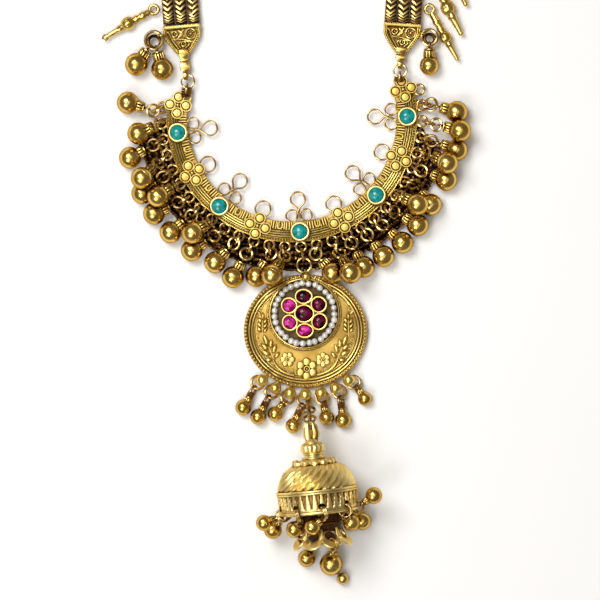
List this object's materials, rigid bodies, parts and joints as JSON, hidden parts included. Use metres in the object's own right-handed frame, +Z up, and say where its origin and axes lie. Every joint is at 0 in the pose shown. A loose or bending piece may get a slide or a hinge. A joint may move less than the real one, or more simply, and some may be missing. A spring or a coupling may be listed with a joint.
{
  "type": "necklace",
  "caption": "Folk style necklace laid flat: bell-fringed crescent collar with turquoise stones, oval pendant with ruby flower, dome drop and woven chains closing in a hook",
  "frame": {"origin": "middle of the laid-out necklace, on the table", "axes": "+Z up from the table, +Y along the necklace towards the back of the neck, +X to the right"},
  "size_m": [0.1104, 0.2942, 0.0255],
  "materials": {
    "gold": "antique, worn bright on the high places",
    "ring_gold": "antique, darkened",
    "dark_gold": "oxidised, dark between the woven wires",
    "turquoise": "polished opaque stone",
    "ruby": "polished, deep red",
    "pearl": "pearly"
  },
  "bodies": {
    "root": {"collar": "gold", "turquoise_1": "turquoise", "turquoise_2": "turquoise", "turquoise_3": "turquoise", "turquoise_4": "turquoise", "turquoise_5": "turquoise", "fringe_bells_left": "gold", "fringe_bells_right": "gold", "fringe_links_left": "ring_gold", "fringe_links_right": "ring_gold", "pendant_links": "ring_gold", "pendant_disc": "gold", "pearl_string": "pearl", "ruby_centre": "ruby", "ruby_1": "ruby", "ruby_2": "ruby", "ruby_3": "ruby", "ruby_4": "ruby", "ruby_5": "ruby", "ruby_6": "ruby", "disc_drop_beads": "gold", "disc_drop_links": "ring_gold", "dome_links": "ring_gold", "dome_cap": "gold", "dome_petals": "gold", "dome_drop_beads": "gold", "dome_drop_links": "ring_gold", "petal_drop_beads": "gold", "petal_drop_links": "ring_gold", "terminal_left": "gold", "terminal_right": "gold", "terminal_links": "ring_gold", "chain_left_1": "dark_gold", "chain_left_2": "dark_gold", "chain_left_3": "dark_gold", "chain_right_1": "dark_gold", "chain_right_2": "dark_gold", "chain_right_3": "dark_gold", "side_bells": "gold", "side_links": "ring_gold", "side_pins": "gold", "end_cap_left": "gold", "end_cap_right": "gold", "clasp": "gold"}
  },
  "joints": []
}
